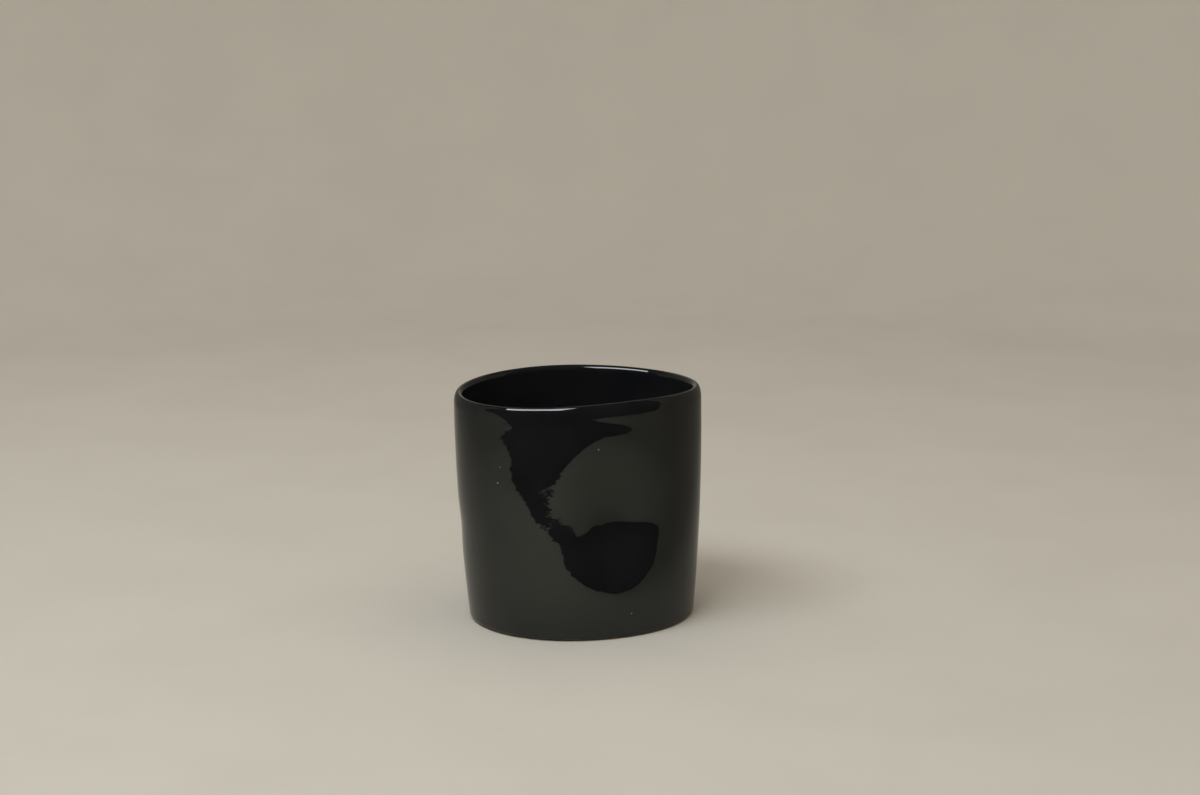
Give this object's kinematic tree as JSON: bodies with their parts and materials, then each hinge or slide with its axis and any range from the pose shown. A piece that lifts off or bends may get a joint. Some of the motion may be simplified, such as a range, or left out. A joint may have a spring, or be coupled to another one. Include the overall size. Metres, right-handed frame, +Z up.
{
  "type": "mug",
  "caption": "Handleless, slightly oval clay mug with a shallow thumb dent, glazed glossy black inside and out, that holds a hot drink.",
  "frame": {"origin": "on the surface that the mug stands on, below the middle of its plan box", "axes": "+Z up, out of the mouth; -Y out of the dented front; +X along the long way of the oval"},
  "size_m": [0.0868, 0.0736, 0.0808],
  "materials": {
    "bare_clay": "matte",
    "black_glaze": "gloss"
  },
  "bodies": {
    "root": {"base": "bare_clay", "wall": "bare_clay", "corner_coil": "bare_clay", "outer_glaze": "black_glaze", "liner_glaze": "black_glaze"}
  },
  "joints": []
}
